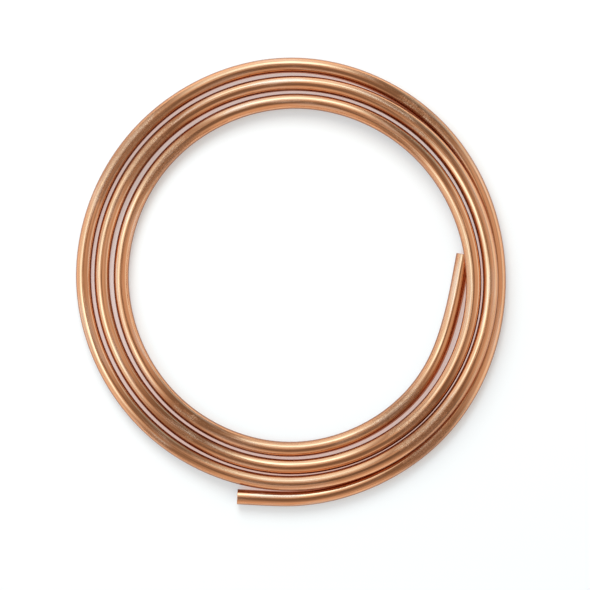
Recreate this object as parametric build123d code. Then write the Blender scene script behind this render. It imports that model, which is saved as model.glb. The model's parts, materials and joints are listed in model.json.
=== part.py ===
from build123d import *
import math
import os

# Soft copper tube wound into a flat coil, lying on a level surface.
# The coil is one length of open tube. It winds outwards clockwise, seen from above.
# All lengths are millimetres, +Z is up, and the origin is under the middle of the coil.

# Sizes of the tube
tube_od = 12.7
tube_wall = 0.889
end_round = 0.3
end_ream = 0.2

# Size of the coil: the clear radius inside the first turn, a quarter turn on from the tail
hollow_radius = 133.5

# Places along the tube are winding angles, in degrees from the +X side.
arcs_per_turn = 48

# Clear radius inside the first turn, as shares of hollow_radius, at even steps round the turn.
# The tail springs in from the turn and its tip tucks under the next turn.
tail_tip_angle = -9.1
tail_tip_share = 1.042
tail_angles = (0.65, 15.0, 30.0)
tail_shares = (0.994, 0.970, 0.9775)
first_turn_shares = (0.986, 1.000, 1.004, 1.022, 1.056, 1.082, 1.085, 1.085)

# Distance from each pass of the tube out to the next, as shares of tube_od, at the same places.
# Under 1, the outer pass lies tucked under the inner one.
second_turn_shares = (1.184, 1.151, 1.151, 1.263, 1.243, 1.178, 1.164, 1.100)
third_turn_shares = (1.035, 1.055, 1.171, 1.200, 1.170, 1.210, 0.900, 0.565)
fourth_turn_shares = (0.776, 1.035)
lead_angle = 1176.5
lead_share = 1.078
lead_tip_angle = 1184.3
lead_tip_share = 1.310

# Height of the tube's underside over the surface, as shares of tube_od, at the same places.
# The second turn climbs over the tail's tip, and the third lies on the start of the fourth.
first_lift_shares = (0.0, 0.0, 0.0, 0.0, 0.06, 0.36, 0.80, 0.94)
second_lift_shares = (0.60, 0.20, 0.02, 0.0, 0.02, 0.22, 0.64, 0.93)
third_lift_shares = (0.78, 0.39, 0.07, 0.0, 0.0, 0.0, 0.0, 0.0)


def spot(angle, radius, lift=0.0):
    """A point of the centreline from its winding angle, its radius and its lift."""
    turn = math.radians(angle)
    return Vector(radius * math.cos(turn), -radius * math.sin(turn), tube_od / 2 + lift)


def step_angle():
    """Winding angle from one place in the tables of shares to the next."""
    return 360 / len(first_turn_shares)


def first_turn_radius(share):
    return hollow_radius * share + tube_od / 2


def turn_radii():
    """Centreline radius at each step round the coil, each turn set out from the turn inside it."""
    radii = [first_turn_radius(share) for share in first_turn_shares]
    for share in second_turn_shares + third_turn_shares + fourth_turn_shares:
        radii.append(radii[-len(first_turn_shares)] + share * tube_od)
    return radii


def centreline_spots():
    """The points that the bent tube passes, from the tail to the lead."""
    radii = turn_radii()
    lifts = first_lift_shares + second_lift_shares + third_lift_shares
    spots = [spot(a, first_turn_radius(s)) for a, s in zip(tail_angles, tail_shares)]
    for place, radius in enumerate(radii):
        lift = lifts[place] * tube_od if place < len(lifts) else 0.0
        spots.append(spot(step_angle() * (place + 1), radius, lift))
    return spots, radii


def pass_inside(angle, radii):
    """Centreline radius of the third turn beside the lead, between two steps."""
    place = (angle - 360) / step_angle() - 1
    inner = radii[int(place)]
    outer = radii[int(place) + 1]
    return inner + (outer - inner) * (place - int(place))


def arc_pair(start, start_way, end, end_way):
    """Two tangent arcs from one point and heading to another."""
    chord = end - start
    ways = start_way + end_way
    spread = 2 * (1 - start_way.dot(end_way))
    along = chord.dot(ways)
    reach = (math.sqrt(along**2 + spread * chord.dot(chord)) - along) / spread
    meeting = (start + start_way * reach + end - end_way * reach) * 0.5
    return [
        Edge.make_tangent_arc(start, start_way, meeting),
        Edge.make_tangent_arc(end, end_way * -1, meeting),
    ]


def centreline():
    """The tube's centreline: a straight tail, a wound stretch of tangent arcs and a straight lead."""
    spots, radii = centreline_spots()
    tail_tip = spot(tail_tip_angle, first_turn_radius(tail_tip_share))
    lead_radius = pass_inside(lead_angle, radii) + lead_share * tube_od
    tip_radius = pass_inside(lead_tip_angle, radii) + lead_tip_share * tube_od
    spots.append(spot(lead_angle, lead_radius))
    lead_tip = spot(lead_tip_angle, tip_radius)
    headings = (spots[0] - tail_tip, lead_tip - spots[-1])
    guide = Spline(*spots, tangents=headings, tangent_scalars=(1.0, 1.0))
    pairs = round(arcs_per_turn / 2 * (lead_angle - tail_angles[0]) / 360)
    runs = [Edge.make_line(tail_tip, spots[0])]
    for n in range(pairs):
        near, far = n / pairs, (n + 1) / pairs
        runs += arc_pair(guide @ near, guide % near, guide @ far, guide % far)
    runs.append(Edge.make_line(spots[-1], lead_tip))
    return Wire(runs)


def cut_rims(tube, tip):
    """The round edges of one cut end that lie in its flat face, the smallest first."""
    rims = tube.edges().filter_by(GeomType.CIRCLE)
    flat = [rim for rim in rims if (rim.arc_center - tip).length < tube_wall / 100]
    return sorted(flat, key=lambda rim: rim.radius)


def wound_tube(path):
    """The open tube: its ring section swept along the centreline, with its cut ends eased."""
    mouth = Plane(origin=path @ 0, z_dir=path % 0)
    section = mouth * (Circle(tube_od / 2) - Circle(tube_od / 2 - tube_wall))
    tube = sweep(section, path=path)
    for tip in (path @ 0, path @ 1):
        tube = fillet(cut_rims(tube, tip)[-1], end_round)
        tube = chamfer(cut_rims(tube, tip)[0], end_ream)
    return tube


def main():
    path = centreline()
    tube = wound_tube(path)
    box = tube.bounding_box()
    middle = Vector(box.center().X, box.center().Y, box.min.Z)
    tube = Pos(-middle.X, -middle.Y, -middle.Z) * tube
    tube.label = "copper_tube"
    print("length of tube", round(path.length), "volume", round(tube.volume))
    os.makedirs("parts", exist_ok=True)
    export_step(tube, "parts/copper_tube.step")


main()
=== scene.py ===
"""Copper tube coil: one open length of bright drawn tube, wound flat and lying on a pale floor."""

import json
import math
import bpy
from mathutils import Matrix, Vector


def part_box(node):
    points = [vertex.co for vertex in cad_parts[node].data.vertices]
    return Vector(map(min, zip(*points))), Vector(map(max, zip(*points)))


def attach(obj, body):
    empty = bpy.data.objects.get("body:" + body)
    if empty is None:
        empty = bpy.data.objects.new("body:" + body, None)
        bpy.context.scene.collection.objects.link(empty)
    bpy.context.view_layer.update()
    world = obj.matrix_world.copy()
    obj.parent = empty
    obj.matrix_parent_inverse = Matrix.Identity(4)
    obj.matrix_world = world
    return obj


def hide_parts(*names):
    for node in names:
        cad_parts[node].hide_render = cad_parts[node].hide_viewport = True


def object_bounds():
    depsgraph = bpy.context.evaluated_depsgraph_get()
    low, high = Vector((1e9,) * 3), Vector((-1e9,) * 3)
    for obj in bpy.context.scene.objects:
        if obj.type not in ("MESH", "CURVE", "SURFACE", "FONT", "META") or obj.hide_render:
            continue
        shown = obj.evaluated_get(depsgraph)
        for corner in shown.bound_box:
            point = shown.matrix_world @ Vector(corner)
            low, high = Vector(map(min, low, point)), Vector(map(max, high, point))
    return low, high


bl_info = {
    "name": "Copper Tube Coil",
    "version": (1, 0, 0),
    "blender": (4, 5, 0),
    "location": "View3D > Sidebar > Tube Coil",
    "description": "Adds a coil of drawn copper tube with its finish, and a plain studio for it",
    "category": "Add Mesh",
}

import bpy
import numpy as np
from bpy.props import FloatProperty, FloatVectorProperty, IntProperty, PointerProperty
from mathutils import Vector
from mathutils.kdtree import KDTree

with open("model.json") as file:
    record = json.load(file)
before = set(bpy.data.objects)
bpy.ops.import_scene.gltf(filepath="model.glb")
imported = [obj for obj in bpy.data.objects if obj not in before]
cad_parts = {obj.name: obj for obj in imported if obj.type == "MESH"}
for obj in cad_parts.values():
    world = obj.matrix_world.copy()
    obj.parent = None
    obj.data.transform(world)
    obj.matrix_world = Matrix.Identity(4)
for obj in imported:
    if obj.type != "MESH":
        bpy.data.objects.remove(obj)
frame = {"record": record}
frame_low, frame_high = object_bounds()
outer_end = frame["record"]["mounts"][0]

# Places in the photograph, in its pixels
PHOTO_WIDTH_PX = 590
TUBE_WIDTH_PX = 15.2
COIL_CENTRE_PX = (291.5, 282.0)

# The bend of the tube, by winding angle in degrees, clockwise from +X seen from above. The shares of the
# tail and the first turn are of the hollow radius. The others are of the diameter, out from the turn before.
FULL_TURN = 360
TAIL_TIP_ANGLE = -9.1
TAIL_TIP_SHARE = 1.042
TAIL_ANGLES = (0.65, 15.0, 30.0)
TAIL_SHARES = (0.994, 0.970, 0.9775)
FIRST_TURN_SHARES = (0.986, 1.000, 1.004, 1.022, 1.056, 1.082, 1.085, 1.085)
SECOND_TURN_SHARES = (1.184, 1.151, 1.151, 1.263, 1.243, 1.178, 1.164, 1.100)
THIRD_TURN_SHARES = (1.035, 1.055, 1.171, 1.200, 1.170, 1.210, 0.900, 0.565)
FOURTH_TURN_SHARES = (0.776, 1.035)
LEAD_ANGLE = 1176.5
LEAD_SHARE = 1.078
LEAD_TIP_ANGLE = 1184.3
LEAD_TIP_SHARE = 1.310

# The height of the tube over the floor, as shares of its diameter, at the same steps
FIRST_LIFT_SHARES = (0.0, 0.0, 0.0, 0.0, 0.06, 0.36, 0.80, 0.94)
SECOND_LIFT_SHARES = (0.60, 0.20, 0.02, 0.0, 0.02, 0.22, 0.64, 0.93)
THIRD_LIFT_SHARES = (0.78, 0.39, 0.07, 0.0, 0.0, 0.0, 0.0, 0.0)
FOURTH_LIFT_SHARES = (0.0, 0.0)

# Stretches dulled by handling and darkened as painted shade: they lie at the diagonals, where the copper
# mirrors the dark room between the soft boxes. Winding angle of the middle, half length in degrees, and
# strength
HANDLED_AND_SHADED_STRETCHES = (
    (50, 16, 0.9),
    (128, 14, 0.5),
    (222, 20, 0.8),
    (305, 14, 0.5),
    (408, 13, 0.7),
    (486, 12, 0.5),
    (580, 18, 0.8),
    (668, 12, 0.5),
    (768, 15, 0.8),
    (850, 12, 0.4),
    (938, 20, 0.9),
    (1028, 14, 0.6),
    (1130, 12, 0.9),
)

RIM_STEPS = 3
RIM_ANGLE = math.radians(60)
SMOOTH_ANGLE = math.radians(40)

MM_PER_M = 1000
SENSOR_WIDTH_MM = 36.0
UP = (0.0, 0.0, 1.0)
WHITE = (1.0, 1.0, 1.0)


class TubeSizes(bpy.types.PropertyGroup):
    """Sizes of the tube and of its coil."""

    diameter: FloatProperty(
        name="Diameter",
        description="Outside diameter of the tube",
        default=2 * outer_end["dims"]["r_mm"] / MM_PER_M,
        unit="LENGTH",
    )
    wall: FloatProperty(
        name="Wall",
        description="Thickness of the tube's wall",
        default=0.000889,
        unit="LENGTH",
    )
    hollow_radius: FloatProperty(
        name="Hollow Radius",
        description="Clear radius inside the first turn, a quarter turn on from the tail",
        default=0.1335,
        unit="LENGTH",
    )
    cut_round: FloatProperty(
        name="Cut Round",
        description="Rounding of the rims at both cut ends",
        default=0.00025,
        unit="LENGTH",
    )
    rings_per_step: IntProperty(
        name="Rings per Step",
        description="Rings of the mesh along each eighth of a turn",
        default=24,
    )
    sides: IntProperty(
        name="Sides",
        description="Faces of the mesh round the tube",
        default=48,
    )


class CopperFinish(bpy.types.PropertyGroup):
    """Colours and gloss of the drawn copper."""

    bright: FloatVectorProperty(
        name="Bright",
        description="Colour of the clean drawn copper",
        subtype="COLOR",
        size=3,
        default=(0.87, 0.42, 0.215),
    )
    ruddy: FloatVectorProperty(
        name="Ruddy",
        description="Colour of the redder stretches",
        subtype="COLOR",
        size=3,
        default=(0.83, 0.37, 0.18),
    )
    # The handled colour is also the colour of the painted shade on the tube's flanks and at the diagonals
    handled_and_shade: FloatVectorProperty(
        name="Handled",
        description="Colour where hands and floors have dulled the copper",
        subtype="COLOR",
        size=3,
        default=(0.43, 0.19, 0.095),
    )
    frosted: FloatVectorProperty(
        name="Frosted",
        description="Colour of the pale rosy patches with a fine matt bloom",
        subtype="COLOR",
        size=3,
        default=(0.90, 0.54, 0.37),
    )
    gloss_roughness: FloatProperty(
        name="Gloss Roughness",
        description="Roughness of the bright copper",
        default=0.09,
        subtype="FACTOR",
    )
    dull_roughness: FloatProperty(
        name="Dull Roughness",
        description="Roughness of the handled copper",
        default=0.27,
        subtype="FACTOR",
    )
    mark_depth: FloatProperty(
        name="Mark Depth",
        description="Depth of the lengthwise draw marks",
        default=0.000060,
        unit="LENGTH",
    )


class StageSettings(bpy.types.PropertyGroup):
    """The camera's place and the plain studio."""

    camera_height: FloatProperty(
        name="Camera Height",
        description="Height of the camera over the floor",
        default=2.4,
        unit="LENGTH",
    )
    floor_size: FloatProperty(
        name="Floor Size",
        description="Side of the square floor",
        default=8.0,
        unit="LENGTH",
    )
    floor_colour: FloatVectorProperty(
        name="Floor Colour",
        description="Colour of the pale floor",
        subtype="COLOR",
        size=3,
        default=(0.97, 0.90, 0.83),
    )
    floor_glow: FloatProperty(
        name="Floor Glow",
        description="How far the floor shows as a plain white ground to the camera",
        default=0.36,
        subtype="FACTOR",
    )
    mirrored_glow: FloatProperty(
        name="Mirrored Glow",
        description="How far the copper mirrors that white ground",
        default=0.20,
        subtype="FACTOR",
    )
    gap_colour: FloatVectorProperty(
        name="Gap Colour",
        description="Colour of the floor between the turns, lit by the copper beside it",
        subtype="COLOR",
        size=3,
        default=(1.0, 0.66, 0.56),
    )
    shade_colour: FloatVectorProperty(
        name="Shade Colour",
        description="Colour of the shaded floor close beside the copper, as the copper mirrors it",
        subtype="COLOR",
        size=3,
        default=(0.40, 0.19, 0.12),
    )
    shade_reach: FloatProperty(
        name="Shade Reach",
        description="How far from the copper the floor is shaded",
        default=0.06,
        unit="LENGTH",
    )
    lamp_distance: FloatProperty(
        name="Lamp Distance",
        description="Distance of the floor's lamp from the coil",
        default=1.6,
        unit="LENGTH",
    )
    floor_lamp_size: FloatProperty(
        name="Floor Lamp Size",
        description="Diameter of the lamp that lights the floor",
        default=1.1,
        unit="LENGTH",
    )
    floor_lamp_level: FloatProperty(
        name="Floor Lamp Level",
        description="Light that this lamp adds to the floor, where 1 shows white paper as white",
        default=0.62,
    )
    room_level: FloatProperty(
        name="Room Level",
        description="Level of the dim light from the rest of the room",
        default=0.23,
    )


class Flow:
    """A shader socket in a sum: each sign adds its Math node."""

    def __init__(self, board, socket):
        self.board = board
        self.socket = socket

    def math(self, operation, *terms):
        inputs = dict(enumerate(terms))
        return self.board.node("ShaderNodeMath", {"operation": operation}, inputs)

    def __add__(self, other):
        return self.math("ADD", self, other)

    def __radd__(self, other):
        return self.math("ADD", other, self)

    def __sub__(self, other):
        return self.math("SUBTRACT", self, other)

    def __rsub__(self, other):
        return self.math("SUBTRACT", other, self)

    def __mul__(self, other):
        return self.math("MULTIPLY", self, other)

    def __rmul__(self, other):
        return self.math("MULTIPLY", other, self)

    def __abs__(self):
        return self.math("ABSOLUTE", self)

    def highest(self, other):
        return self.math("MAXIMUM", self, other)

    def out(self, name):
        """Another output of the same node."""
        return Flow(self.board, self.socket.node.outputs[name])


# Places of a Mix node's colour sockets, because its sockets of other kinds share their names
MIX_SHARE = 0
MIX_FIRST = 6
MIX_SECOND = 7
MIX_RESULT = 2


class Board:
    """The node tree of one material or of the world."""

    def __init__(self, owner):
        owner.use_nodes = True
        self.tree = owner.node_tree
        self.tree.nodes.clear()

    def node(self, kind, settings=None, inputs=None):
        """Adds a node, sets its settings first, then fills its sockets with values or links."""
        node = self.tree.nodes.new(kind)
        for name, value in (settings or {}).items():
            setattr(node, name, value)
        for name, value in (inputs or {}).items():
            if isinstance(value, Flow):
                self.tree.links.new(value.socket, node.inputs[name])
            elif node.inputs[name].type == "RGBA":
                node.inputs[name].default_value = (*value, 1.0)
            else:
                node.inputs[name].default_value = value
        return Flow(self, node.outputs[0]) if node.outputs else None

    def grain(self, place, sizes, detail=2.0, **settings):
        """Noise from 0 to 1 with its own grain size in metres across, across and along the tube."""
        scale = tuple(1 / size for size in sizes)
        spread = self.node("ShaderNodeVectorMath", {"operation": "MULTIPLY"}, {0: place, 1: scale})
        inputs = {"Vector": spread, "Scale": 1.0, "Detail": detail}
        return self.node("ShaderNodeTexNoise", settings, inputs)

    def dot(self, first, second):
        """How far one direction or place reaches along another."""
        inputs = {0: first, 1: second}
        return self.node("ShaderNodeVectorMath", {"operation": "DOT_PRODUCT"}, inputs).out("Value")

    def mask(self, level, low, high):
        """0 below one level, 1 above another, and smooth between."""
        settings = {"interpolation_type": "SMOOTHSTEP"}
        inputs = {"Value": level, "From Min": low, "From Max": high}
        return self.node("ShaderNodeMapRange", settings, inputs)

    def blend(self, share, first, second):
        """One colour going over to another."""
        inputs = {MIX_SHARE: share, MIX_FIRST: first, MIX_SECOND: second}
        return self.node("ShaderNodeMix", {"data_type": "RGBA"}, inputs).out(MIX_RESULT)


# Grain of each marking in metres: across, across and along the tube
MARK_GRAIN = (0.0016, 0.0016, 0.11)
HAIRLINE_GRAIN = (0.0005, 0.0005, 0.035)
RUB_GRAIN = (0.0030, 0.0030, 0.0007)
MOTTLE_GRAIN = (0.006, 0.006, 0.016)
FROSTING_GRAIN = (0.005, 0.005, 0.060)
RUDDY_GRAIN = (0.02, 0.02, 0.12)

# Levels of the noise between which each marking sets in
HAIRLINE_LEVELS = (0.52, 0.62)
RUDDY_LEVELS = (0.40, 0.62)
STREAKED_LEVELS = (0.50, 0.62)
WORN_AND_SHADED_LEVELS = (0.60, 1.00)
SCUFFED_LEVELS = (0.85, 1.25)
FROSTED_LEVELS = (0.52, 0.68)

# A scratch follows the line where the noise of the rubs is at its middle, and fades out beside it
SCRATCH_MIDDLE = 0.5
SCRATCH_LEVELS = (0.0, 0.035)

# Painted shade on the tube's flanks: upward part of the surface's direction, below which the copper is
# wholly darkened as painted shade and above which it isn't
PAINTED_FLANK_SHADE_LEVELS = (0.32, 0.74)

# What the wear, which is partly painted shade, and the frosting take from the other markings
WORN_BY_HANDLING_AND_SHADE = 0.55
WORN_BY_MOTTLE = 0.65
WORN_BY_MARKS = 0.25
FROSTED_BY_HAIRLINES = 0.06

# How far each marking, and the painted shade on the flanks, takes the copper over to its own colour
RUDDY_SHARE = 0.6
FROSTED_SHARE = 0.7
WORN_AND_SHADED_SHARE = 0.55
STREAKED_SHARE = 0.42
SCRATCHED_SHARE = 0.3
PAINTED_FLANK_SHADE_SHARE = 0.8

# What each marking adds to the roughness and to the relief
STREAKED_ROUGHNESS = 0.05
STREAKED_RELIEF = 0.5
MARK_RELIEF = 0.4
HAIRLINE_RELIEF = 0.15
SCRATCHED_RELIEF = 0.4


def copper_material(finish):
    """Bright drawn copper: lengthwise draw marks, redder stretches, dull patches that are partly handling
    wear and partly painted shade, and painted shade darkening the flanks.
    """
    material = bpy.data.materials.new("drawn_copper")
    board = Board(material)
    place = board.node("ShaderNodeAttribute", {"attribute_name": "tube_place"}).out("Vector")
    handling_and_shade = board.node("ShaderNodeAttribute", {"attribute_name": "handling_and_shade"}).out("Fac")

    marks = board.grain(place, MARK_GRAIN, detail=4.0)
    hairlines = board.mask(board.grain(place, HAIRLINE_GRAIN, detail=1.0), *HAIRLINE_LEVELS)
    rubs = board.grain(place, RUB_GRAIN, detail=3.0)
    mottle = board.grain(place, MOTTLE_GRAIN, detail=4.0)
    frosting = board.grain(place, FROSTING_GRAIN, detail=3.0, noise_dimensions="4D")
    ruddiness = board.mask(board.grain(place, RUDDY_GRAIN), *RUDDY_LEVELS)

    streaked = board.mask(marks, *STREAKED_LEVELS)
    # The handled stretches add painted shade as well as wear: they darken the copper at the diagonals
    wear_and_shade = handling_and_shade * WORN_BY_HANDLING_AND_SHADE + mottle * WORN_BY_MOTTLE + marks * WORN_BY_MARKS
    worn_and_shaded = board.mask(wear_and_shade, *WORN_AND_SHADED_LEVELS)
    scuffed = board.mask(handling_and_shade + mottle, *SCUFFED_LEVELS)
    scratched = (1 - board.mask(abs(rubs - SCRATCH_MIDDLE), *SCRATCH_LEVELS)) * scuffed
    frosted = board.mask(frosting + hairlines * FROSTED_BY_HAIRLINES, *FROSTED_LEVELS)
    # Painted shade: the flanks and underside of the tube are darkened towards the dull colour, standing in
    # for the dark floor beside the tube that the copper mirrors
    upward = board.dot(board.node("ShaderNodeNewGeometry").out("Normal"), UP)
    painted_flank_shade = 1 - board.mask(upward, *PAINTED_FLANK_SHADE_LEVELS)

    colour = board.blend(ruddiness * RUDDY_SHARE, finish.bright, finish.ruddy)
    colour = board.blend(frosted * FROSTED_SHARE, colour, finish.frosted)
    # Wear, which is partly painted shade at the diagonals, and the draw marks take the copper towards the
    # dull colour
    colour = board.blend(worn_and_shaded * WORN_AND_SHADED_SHARE + streaked * STREAKED_SHARE, colour, finish.handled_and_shade)
    colour = board.blend(scratched * SCRATCHED_SHARE, colour, finish.frosted)
    # Painted shade on the flanks
    colour = board.blend(painted_flank_shade * PAINTED_FLANK_SHADE_SHARE, colour, finish.handled_and_shade)

    gain = finish.dull_roughness - finish.gloss_roughness
    roughness = finish.gloss_roughness + worn_and_shaded.highest(frosted) * gain + streaked * STREAKED_ROUGHNESS
    relief = streaked * STREAKED_RELIEF + marks * MARK_RELIEF + hairlines * HAIRLINE_RELIEF
    relief = relief - scratched * SCRATCHED_RELIEF
    normal = board.node("ShaderNodeBump", None, {"Height": relief, "Distance": finish.mark_depth})
    shader = board.node(
        "ShaderNodeBsdfPrincipled",
        None,
        {"Base Color": colour, "Metallic": 1.0, "Roughness": roughness, "Normal": normal},
    )
    board.node("ShaderNodeOutputMaterial", None, {"Surface": shader})
    return material


def spot(angle, radius, lift, diameter):
    """A point of the centreline from its winding angle, its radius and its lift."""
    turn = math.radians(angle)
    return Vector((radius * math.cos(turn), -radius * math.sin(turn), diameter / 2 + lift))


def route_spots(sizes):
    """The points that the bent tube passes, and the tips of its straight tail and lead."""
    diameter = sizes.diameter
    step = FULL_TURN / len(FIRST_TURN_SHARES)

    def clear(share):
        """Radius of the first turn's centreline from the clear radius inside it."""
        return sizes.hollow_radius * share + diameter / 2

    radii = [clear(share) for share in FIRST_TURN_SHARES]
    for share in SECOND_TURN_SHARES + THIRD_TURN_SHARES + FOURTH_TURN_SHARES:
        radii.append(radii[-len(FIRST_TURN_SHARES)] + share * diameter)
    lifts = FIRST_LIFT_SHARES + SECOND_LIFT_SHARES + THIRD_LIFT_SHARES + FOURTH_LIFT_SHARES

    def inside(angle):
        """Radius of the centreline one turn before a winding angle."""
        place = (angle - FULL_TURN) / step - 1
        inner, outer = radii[int(place)], radii[int(place) + 1]
        return inner + (outer - inner) * (place - int(place))

    spots = [spot(a, clear(s), 0.0, diameter) for a, s in zip(TAIL_ANGLES, TAIL_SHARES)]
    spots += [spot(step * (n + 1), r, lifts[n] * diameter, diameter) for n, r in enumerate(radii)]
    spots.append(spot(LEAD_ANGLE, inside(LEAD_ANGLE) + LEAD_SHARE * diameter, 0.0, diameter))
    tail_tip = spot(TAIL_TIP_ANGLE, clear(TAIL_TIP_SHARE), 0.0, diameter)
    lead_tip = spot(LEAD_TIP_ANGLE, inside(LEAD_TIP_ANGLE) + LEAD_TIP_SHARE * diameter, 0.0, diameter)
    return tail_tip, spots, lead_tip


def smooth_headings(spots, first, last):
    """Heading at each spot of the smoothest curve through them that starts and ends as given."""
    points = np.array(spots)
    reach = np.linalg.norm(np.diff(points, axis=0), axis=1)
    rows = np.zeros((len(points), len(points)))
    sums = np.zeros_like(points)
    rows[0, 0] = rows[-1, -1] = 1
    sums[0], sums[-1] = first, last
    for n in range(1, len(points) - 1):
        before, after = reach[n - 1], reach[n]
        rows[n, n - 1 : n + 2] = after, 2 * (before + after), before
        rise_before = (points[n] - points[n - 1]) / before
        rise_after = (points[n + 1] - points[n]) / after
        sums[n] = 3 * (after * rise_before + before * rise_after)
    return np.linalg.solve(rows, sums), reach


def add_route(sizes):
    """The centreline as a Bezier curve: straight tail, wound turns, straight lead."""
    tail_tip, spots, lead_tip = route_spots(sizes)
    tail = spots[0] - tail_tip
    lead = lead_tip - spots[-1]
    headings, reach = smooth_headings(spots, tail.normalized(), lead.normalized())

    bpy.ops.object.select_all(action="DESELECT")
    bpy.ops.curve.primitive_bezier_curve_add(location=(0, 0, 0))
    curve = bpy.context.object
    bends = curve.data.splines[0].bezier_points
    bends.add(len(spots))
    places = [tail_tip, *spots, lead_tip]
    ways = [Vector(heading) for heading in headings]
    # Each handle stands a third of the way to the next point, which gives the curve these headings
    arriving = [tail, *(way * before for way, before in zip(ways, (tail.length, *reach))), lead]
    leaving = [tail, *(way * after for way, after in zip(ways, (*reach, lead.length))), lead]
    for bend, place, before, after in zip(bends, places, arriving, leaving):
        bend.handle_left_type = bend.handle_right_type = "FREE"
        bend.co = place
        bend.handle_left = place - before / 3
        bend.handle_right = place + after / 3
    curve.data.dimensions = "3D"
    curve.data.twist_mode = "Z_UP"
    curve.data.resolution_u = sizes.rings_per_step
    return curve


def ring_centres(curve):
    """The points of the centreline where the mesh has its rings."""
    line = bpy.data.meshes.new_from_object(curve)
    centres = np.array([tuple(v.co) for v in line.vertices])
    bpy.data.meshes.remove(line)
    return centres


def mark_places(mesh, centres):
    """Writes where each point lies on the tube: across, across and along, and how much it was handled, which
    also sets the painted shade at the diagonals.
    """
    runs = np.linalg.norm(np.diff(centres, axis=0), axis=1)
    along = np.concatenate(([0.0], np.cumsum(runs)))
    winding = -np.unwrap(np.arctan2(centres[:, 1], centres[:, 0]))
    winding = np.degrees(winding - winding[0]) + TAIL_TIP_ANGLE
    handling_and_shade = np.zeros(len(winding))
    for middle, half, strength in HANDLED_AND_SHADED_STRETCHES:
        handling_and_shade += strength * np.exp(-(((winding - middle) / half) ** 2))

    tree = KDTree(len(centres))
    for n, centre in enumerate(centres):
        tree.insert(Vector(centre), n)
    tree.balance()
    places = []
    levels = []
    for vertex in mesh.vertices:
        centre, ring, _ = tree.find(vertex.co)
        outward = Vector((centre.x, centre.y, 0)).normalized()
        way = vertex.co - centre
        places += [way.dot(outward), way.z, along[ring]]
        levels.append(min(handling_and_shade[ring], 1.0))
    mesh.attributes.new("tube_place", "FLOAT_VECTOR", "POINT").data.foreach_set("vector", places)
    mesh.attributes.new("handling_and_shade", "FLOAT", "POINT").data.foreach_set("value", levels)


class TUBECOIL_OT_tube(bpy.types.Operator):
    """Winds the drawn copper tube"""

    bl_idname = "tube_coil.tube"
    bl_label = "Copper Tube"

    def execute(self, context):
        sizes = context.scene.tube_sizes
        curve = add_route(sizes)
        centres = ring_centres(curve)
        curve.data.bevel_depth = sizes.diameter / 2
        # A round bevel has four sides, and two more for each step of its resolution
        curve.data.bevel_resolution = sizes.sides // 2 - 2
        curve.data.use_fill_caps = False
        bpy.ops.object.convert(target="MESH")
        tube = context.object
        tube.name = "copper_tube_drawn"

        wall = tube.modifiers.new("wall", "SOLIDIFY")
        wall.thickness = sizes.wall
        wall.offset = -1.0
        bpy.ops.object.modifier_apply(modifier=wall.name)
        rims = tube.modifiers.new("rims", "BEVEL")
        rims.width = sizes.cut_round
        rims.segments = RIM_STEPS
        rims.limit_method = "ANGLE"
        rims.angle_limit = RIM_ANGLE
        bpy.ops.object.modifier_apply(modifier=rims.name)
        bpy.ops.object.shade_smooth_by_angle(angle=SMOOTH_ANGLE)

        mark_places(tube.data, centres)
        self.settle(tube)
        tube.data.materials.clear()
        tube.data.materials.append(copper_material(context.scene.copper_finish))
        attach(tube, "root")
        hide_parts("copper_tube")
        return {"FINISHED"}

    def settle(self, tube):
        """Moves the mesh so that its box stands where the frame's does, with the object at the origin."""
        points = np.array([tuple(v.co) for v in tube.data.vertices])
        low, high = points.min(axis=0), points.max(axis=0)
        middle = Vector(((low[0] + high[0]) / 2, (low[1] + high[1]) / 2, low[2]))
        box_low, box_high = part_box("copper_tube")
        seat = Vector(((box_low[0] + box_high[0]) / 2, (box_low[1] + box_high[1]) / 2, box_low[2]))
        tube.location = seat - middle
        bpy.ops.object.transform_apply(location=True, rotation=True, scale=True)


# Share of open sky over the floor, below which it is wholly in a gap or shaded and above which it isn't
GAP_OPENNESS = (0.08, 0.26)
SHADE_OPENNESS = (0.60, 0.99)
OPENNESS_SAMPLES = 6

# How far the shade darkens what the copper mirrors, and how far a gap's floor glows
SHADE_SHARE = 0.85
GAP_SEEN_GLOW = 0.30
GAP_MIRRORED_GLOW = 0.65


def floor_material(stage):
    """A pale floor that shows white, keeps the coil's shadow and takes warm light between the turns."""
    material = bpy.data.materials.new("pale_floor")
    board = Board(material)
    ray = board.node("ShaderNodeLightPath")
    camera, glossy = ray.out("Is Camera Ray"), ray.out("Is Glossy Ray")
    settings = {"samples": OPENNESS_SAMPLES}
    reach = {"Distance": stage.shade_reach}
    openness = board.node("ShaderNodeAmbientOcclusion", settings, reach).out("AO")
    between = 1 - board.mask(openness, *GAP_OPENNESS)
    beside = 1 - board.mask(openness, *SHADE_OPENNESS)

    ground_colour = board.blend(between, WHITE, stage.gap_colour)
    matt_colour = board.blend(between, stage.floor_colour, stage.gap_colour)
    shaded = glossy * (beside - between) * SHADE_SHARE
    matt_colour = board.blend(shaded, matt_colour, stage.shade_colour)
    matt = board.node("ShaderNodeBsdfDiffuse", None, {"Color": matt_colour})
    ground = board.node("ShaderNodeEmission", None, {"Color": ground_colour, "Strength": 1.0})
    mirrored = (1 - beside) * stage.mirrored_glow + between * GAP_MIRRORED_GLOW
    seen = camera * (stage.floor_glow + between * GAP_SEEN_GLOW) + glossy * mirrored
    surface = board.node("ShaderNodeMixShader", None, {0: seen, 1: matt, 2: ground})
    board.node("ShaderNodeOutputMaterial", None, {"Surface": surface})
    return material


# Tints of the studio's light: of its boxes and sheets, of its walls, and of the dim room between them
COOL = (0.46, 1.0, 1.45)
PLAIN = (1.0, 0.95, 0.88)
DUSKY = (1.0, 0.86, 0.74)

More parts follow.
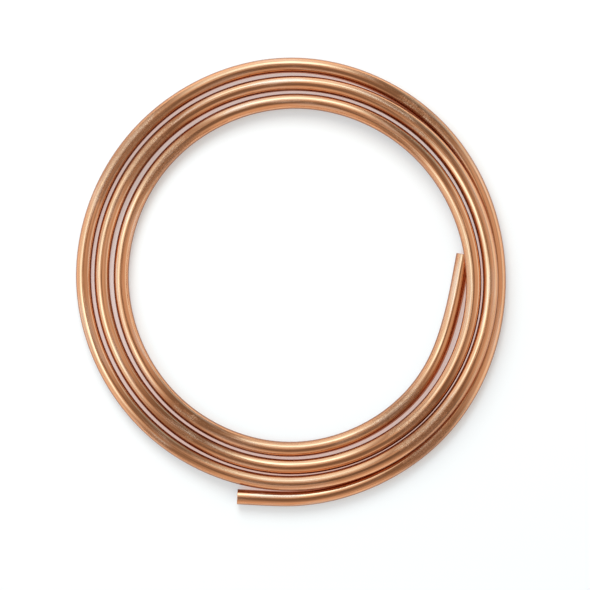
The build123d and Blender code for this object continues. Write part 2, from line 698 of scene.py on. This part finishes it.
# Soft boxes, sheets and bright walls round the coil, in degrees. Bearings run clockwise from the back, and
# tilts down from overhead. Each has its bearing, half width and edge, the tilt where it starts and the one
# where it ends, each with its edge, its level and its tint.
PAST_HORIZON = (110, 10)
STUDIO_PANELS = (
    ("back_wall", (-8, 27, 9), (6, 8), PAST_HORIZON, 0.48, PLAIN),
    ("back_sheet", (-8, 23, 9), (22, 10), PAST_HORIZON, 0.66, COOL),
    ("back_box", (-6, 20, 8), (35, 7), (55, 8), 1.70, COOL),
    ("left_wall", (272, 46, 10), (9, 7), PAST_HORIZON, 0.47, PLAIN),
    ("left_sheet", (274, 39, 10), (22, 11), PAST_HORIZON, 0.52, COOL),
    ("left_box", (268, 32, 10), (27, 7), (50, 9), 1.50, COOL),
    ("right_wall", (88, 34, 11), (6, 7), PAST_HORIZON, 0.46, PLAIN),
    ("right_sheet", (78, 48, 12), (66, 12), PAST_HORIZON, 0.55, COOL),
    ("front_wall", (180, 33, 12), (42, 15), PAST_HORIZON, 0.52, PLAIN),
)


def panel_light(board, direction, tilt, panel):
    """The light of one panel in a direction: its level inside, fading out over its edges."""
    name, (bearing, half_width, edge), (low, low_edge), (high, high_edge), level, tint = panel
    turn = math.radians(bearing)
    ahead = board.dot(direction, (math.sin(turn), math.cos(turn), 0.0))
    aside = board.dot(direction, (math.cos(turn), -math.sin(turn), 0.0))
    off = abs(aside.math("ARCTAN2", aside, ahead)) * math.degrees(1)
    across = 1 - board.mask(off, half_width - edge, half_width + edge)
    upright = board.mask(tilt, low - low_edge, low + low_edge)
    upright = upright * (1 - board.mask(tilt, high - high_edge, high + high_edge))
    share = across * upright * level
    share.socket.node.label = name
    return board.node("ShaderNodeVectorMath", {"operation": "SCALE"}, {"Vector": tint, "Scale": share})


def studio_world(stage):
    """A dim warm room with soft panels round the coil, white where the camera looks past the floor."""
    world = bpy.data.worlds.new("studio")
    board = Board(world)
    direction = board.node("ShaderNodeTexCoord").out("Generated")
    height = board.dot(direction, UP)
    tilt = height.math("ARCCOSINE", height) * math.degrees(1)
    light = tuple(stage.room_level * part for part in DUSKY)
    for panel in STUDIO_PANELS:
        inputs = {0: panel_light(board, direction, tilt, panel), 1: light}
        light = board.node("ShaderNodeVectorMath", {"operation": "ADD"}, inputs)
    seen = board.node("ShaderNodeLightPath").out("Is Camera Ray")
    colour = board.blend(seen, light, WHITE)
    shader = board.node("ShaderNodeBackground", None, {"Color": colour, "Strength": 1.0})
    board.node("ShaderNodeOutputWorld", None, {"Surface": shader})
    return world


# Way from the coil to the floor's lamp
FLOOR_LAMP_WAY = (-0.22, 0.62, 0.72)


def add_floor_lamp(stage):
    """A large soft lamp from the back left that lights the matt floor and isn't mirrored by the copper."""
    lamp = bpy.data.lights.new("floor_lamp", "AREA")
    lamp.shape = "DISK"
    lamp.size = stage.floor_lamp_size
    # White paper that faces the lamp shows white at pi squared watts, times the square of the distance
    lamp.energy = stage.floor_lamp_level * math.pi**2 * stage.lamp_distance**2
    towards = Vector(FLOOR_LAMP_WAY).normalized()
    holder = bpy.data.objects.new("floor_lamp", lamp)
    holder.location = towards * stage.lamp_distance
    holder.rotation_euler = towards.to_track_quat("Z", "Y").to_euler()
    holder.visible_glossy = False
    bpy.context.collection.objects.link(holder)


class TUBECOIL_OT_stage(bpy.types.Operator):
    """Sets the camera straight above the coil, with a pale floor and soft light"""

    bl_idname = "tube_coil.stage"
    bl_label = "Studio"

    def execute(self, context):
        stage = context.scene.coil_stage
        bpy.ops.object.select_all(action="DESELECT")
        bpy.ops.mesh.primitive_plane_add(size=stage.floor_size, location=(0, 0, frame_low.z))
        floor = context.object
        floor.name = "pale_floor"
        floor.data.materials.append(floor_material(stage))
        context.scene.world = studio_world(stage)
        add_floor_lamp(stage)
        self.add_camera(context, stage)
        context.scene.view_settings.view_transform = "Standard"
        return {"FINISHED"}

    def add_camera(self, context, stage):
        """A long lens straight above, framed as the photograph."""
        sizes = context.scene.tube_sizes
        metres_per_px = sizes.diameter / TUBE_WIDTH_PX
        centre = spiral_centre(sizes)
        x = centre.x + (PHOTO_WIDTH_PX / 2 - COIL_CENTRE_PX[0]) * metres_per_px
        y = centre.y - (PHOTO_WIDTH_PX / 2 - COIL_CENTRE_PX[1]) * metres_per_px
        bpy.ops.object.camera_add(location=(x, y, stage.camera_height), rotation=(0, 0, 0))
        camera = context.object
        height = stage.camera_height - sizes.diameter / 2
        camera.data.sensor_width = SENSOR_WIDTH_MM
        camera.data.lens = camera.data.sensor_width * height / (PHOTO_WIDTH_PX * metres_per_px)
        camera.data.clip_end = stage.floor_size
        context.scene.camera = camera


def spiral_centre(sizes):
    """Where the middle of the winding stands in the frame, from the tip of the lead."""
    _, _, lead_tip = route_spots(sizes)
    half_length = Vector(outer_end["axis"]) * outer_end["dims"]["length_mm"] / (2 * MM_PER_M)
    tip = Vector(outer_end["pos_m"]) + half_length
    return Vector((tip.x - lead_tip.x, tip.y - lead_tip.y, 0))


class TUBECOIL_PT_panel(bpy.types.Panel):
    """Lists the coil's pieces with their sizes and colours"""

    bl_label = "Tube Coil"
    bl_space_type = "VIEW_3D"
    bl_region_type = "UI"
    bl_category = "Tube Coil"

    def draw(self, context):
        scene = context.scene
        for operator, groups in (
            (TUBECOIL_OT_tube, (scene.tube_sizes, scene.copper_finish)),
            (TUBECOIL_OT_stage, (scene.coil_stage,)),
        ):
            box = self.layout.box()
            box.operator(operator.bl_idname)
            for group in groups:
                for name in group.__annotations__:
                    box.prop(group, name)


CLASSES = (
    TubeSizes,
    CopperFinish,
    StageSettings,
    TUBECOIL_OT_tube,
    TUBECOIL_OT_stage,
    TUBECOIL_PT_panel,
)


def register():
    for cls in CLASSES:
        bpy.utils.register_class(cls)
    bpy.types.Scene.tube_sizes = PointerProperty(type=TubeSizes)
    bpy.types.Scene.copper_finish = PointerProperty(type=CopperFinish)
    bpy.types.Scene.coil_stage = PointerProperty(type=StageSettings)


def unregister():
    del bpy.types.Scene.coil_stage
    del bpy.types.Scene.copper_finish
    del bpy.types.Scene.tube_sizes
    for cls in reversed(CLASSES):
        bpy.utils.unregister_class(cls)


def main():
    register()
    bpy.ops.tube_coil.stage()
    bpy.ops.tube_coil.tube()


if __name__ == "__main__":
    main()
